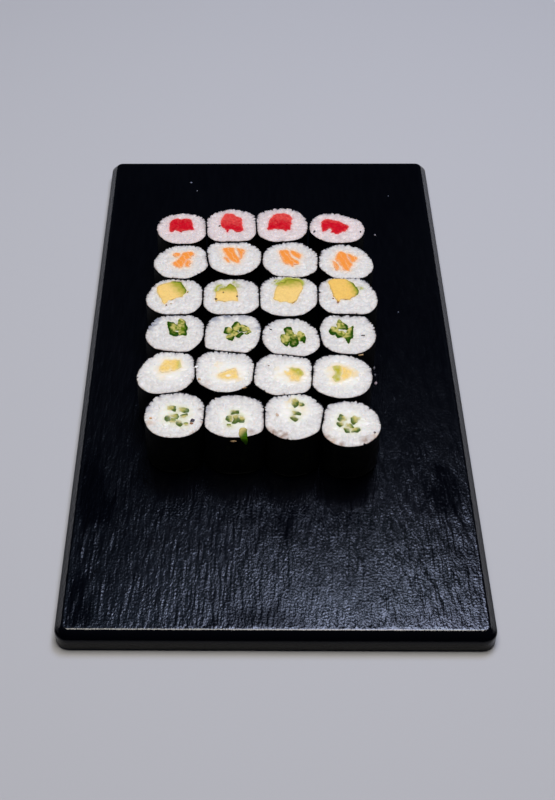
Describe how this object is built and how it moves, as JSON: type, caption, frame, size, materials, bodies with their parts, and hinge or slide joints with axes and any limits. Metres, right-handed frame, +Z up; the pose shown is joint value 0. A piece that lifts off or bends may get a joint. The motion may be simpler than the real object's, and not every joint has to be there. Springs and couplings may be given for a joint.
{
  "type": "maki sushi platter",
  "caption": "Maki sushi rolls with various fillings, cut into short upright pieces and set out in rows on a black bevelled serving board.",
  "frame": {"origin": "centre of the board's underside", "axes": "+Z up, +Y along the board from the cucumber and cheese row in front to the tuna row at the back, +X to the right"},
  "size_m": [0.176, 0.325, 0.035],
  "materials": {
    "black_melamine": "black melamine with a streaky embossed grain along its length and a smooth bevel",
    "nori": "near-black toasted seaweed, finely wrinkled, with a faint sheen",
    "rice": "cooked white rice, translucent and slightly glossy grains",
    "tuna": "raw tuna, moist red",
    "salmon": "raw salmon, moist orange with pale stripes",
    "avocado": "ripe avocado, smooth, yellow turning green towards its skin",
    "cucumber": "cucumber sticks, pale wet flesh and dark green skin",
    "cream_cheese": "soft white cheese, smooth and warm white"
  },
  "bodies": {
    "root": {"board": "black_melamine", "roll_1_1_tuna": "nori", "roll_1_2_tuna": "nori", "roll_1_3_tuna": "nori", "roll_1_4_tuna": "nori", "roll_2_1_salmon": "nori", "roll_2_2_salmon": "nori", "roll_2_3_salmon": "nori", "roll_2_4_salmon": "nori", "roll_3_1_avocado": "nori", "roll_3_2_avocado": "nori", "roll_3_3_avocado": "nori", "roll_3_4_avocado": "nori", "roll_4_1_cucumber": "nori", "roll_4_2_cucumber": "nori", "roll_4_3_cucumber": "nori", "roll_4_4_cucumber": "nori", "roll_5_1_cheese_avocado": "nori", "roll_5_2_cheese_avocado": "nori", "roll_5_3_cheese_avocado": "nori", "roll_5_4_cheese_avocado": "nori", "roll_6_1_cheese_cucumber": "nori", "roll_6_2_cheese_cucumber": "nori", "roll_6_3_cheese_cucumber": "nori", "roll_6_4_cheese_cucumber": "nori"}
  },
  "joints": []
}
